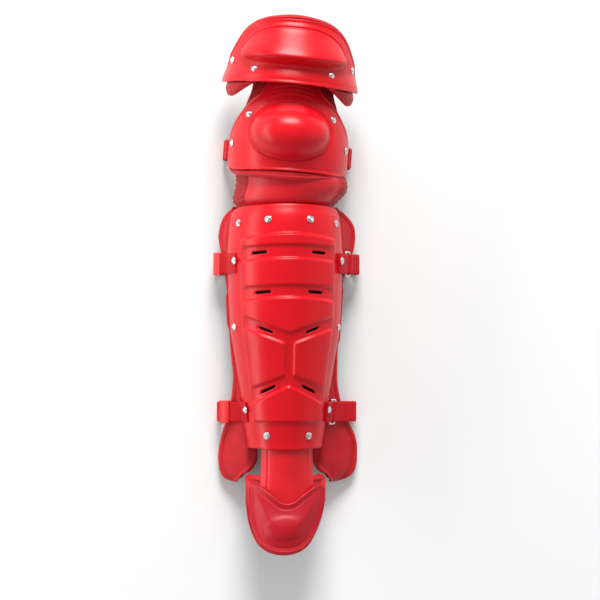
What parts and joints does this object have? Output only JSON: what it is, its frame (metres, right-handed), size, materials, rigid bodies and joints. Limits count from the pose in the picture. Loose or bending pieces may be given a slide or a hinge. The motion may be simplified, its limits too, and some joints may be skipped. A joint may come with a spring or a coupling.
{
  "type": "catcher leg guard",
  "caption": "Leg guard with hard thigh, knee, shin and foot shells on bound padding, vented raised shin panels, chrome rivets and webbing straps.",
  "frame": {"origin": "under the middle of the whole guard, on the surface that it lies on", "axes": "+Y along the leg towards the thigh end, +Z out of the front of the guard, +X to the right as seen from the front"},
  "size_m": [0.189, 0.68, 0.1375],
  "materials": {
    "shell_plastic": "glossy moulded red",
    "padding": "red cloth covered foam with bound edges",
    "lining": "black quilted lining cloth",
    "soft_vinyl": "smooth red vinyl",
    "gathered_cloth": "gathered red elastic cloth",
    "webbing": "woven red webbing",
    "buckle_plastic": "lighter red moulded plastic",
    "chrome": "polished"
  },
  "bodies": {
    "root": {"shin_shell": "shell_plastic", "knee_shell": "shell_plastic", "thigh_shell": "shell_plastic", "foot_cap": "shell_plastic", "shin_pad": "lining", "wing_left": "padding", "wing_right": "padding", "knee_pad": "padding", "thigh_pad": "padding", "foot_pad": "padding", "knee_panel": "soft_vinyl", "ankle_tongue": "soft_vinyl", "knee_gusset_left": "gathered_cloth", "knee_gusset_right": "gathered_cloth", "cap_strap_left": "webbing", "cap_strap_right": "webbing", "knee_strap": "webbing", "calf_strap_upper": "webbing", "calf_strap_lower": "webbing", "anchor_tab_upper": "webbing", "anchor_tab_lower": "webbing", "slide_buckle_upper": "buckle_plastic", "slide_buckle_lower": "buckle_plastic", "wire_ring_upper": "chrome", "wire_ring_lower": "chrome", "shin_rivet_top_outer_left": "chrome", "shin_rivet_top_outer_right": "chrome", "shin_rivet_top_inner_left": "chrome", "shin_rivet_top_inner_right": "chrome", "shin_rivet_middle_left": "chrome", "shin_rivet_middle_right": "chrome", "shin_rivet_bottom_left": "chrome", "shin_rivet_bottom_right": "chrome", "strap_rivet_upper_left": "chrome", "strap_rivet_upper_right": "chrome", "strap_rivet_lower_left": "chrome", "strap_rivet_lower_right": "chrome", "knee_rivet_upper_left": "chrome", "knee_rivet_upper_right": "chrome", "knee_rivet_lower_left": "chrome", "knee_rivet_lower_right": "chrome", "thigh_rivet_outer_left": "chrome", "thigh_rivet_outer_right": "chrome", "thigh_rivet_inner_left": "chrome", "thigh_rivet_inner_right": "chrome"}
  },
  "joints": []
}
